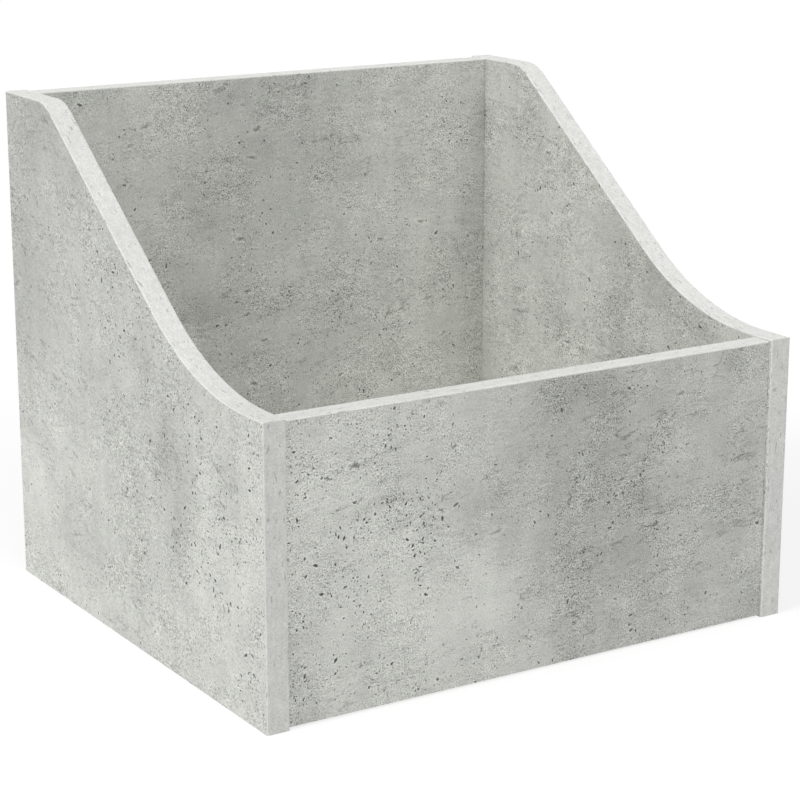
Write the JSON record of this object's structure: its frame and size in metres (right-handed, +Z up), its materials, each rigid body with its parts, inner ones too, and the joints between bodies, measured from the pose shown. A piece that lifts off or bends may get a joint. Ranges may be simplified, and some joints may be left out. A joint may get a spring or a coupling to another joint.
{
  "type": "record storage case",
  "caption": "Open-top case for vinyl records: S-curved side panels hold a low front, a high back and a raised bottom panel, joined with cam fittings and dowels.",
  "frame": {"origin": "centre of the footprint, on the surface that the case stands on", "axes": "+X to the right seen from the front, +Y from the low front to the high back, +Z up"},
  "size_m": [0.385, 0.345, 0.333],
  "materials": {
    "board_decor": "particle board with matt melamine faces in a light concrete decor",
    "edge_band": "matt plastic edge band in a paler concrete decor",
    "cam_zinc": "raw die-cast zinc, dull",
    "bolt_steel": "zinc-plated turned steel",
    "dowel_beech": "dry beech"
  },
  "bodies": {
    "root": {"left_side_panel": "board_decor", "right_side_panel": "board_decor", "front_panel": "board_decor", "back_panel": "board_decor", "bottom_panel": "board_decor", "left_top_edge_band": "edge_band", "right_top_edge_band": "edge_band", "left_front_edge_band": "edge_band", "right_front_edge_band": "edge_band", "left_back_edge_band": "edge_band", "right_back_edge_band": "edge_band", "front_panel_top_band": "edge_band", "back_panel_top_band": "edge_band", "front_cams": "cam_zinc", "back_cams": "cam_zinc", "bottom_cams": "cam_zinc", "front_cam_bolts": "bolt_steel", "back_cam_bolts": "bolt_steel", "bottom_cam_bolts": "bolt_steel", "front_dowels": "dowel_beech", "back_dowels": "dowel_beech", "bottom_dowels": "dowel_beech"}
  },
  "joints": []
}
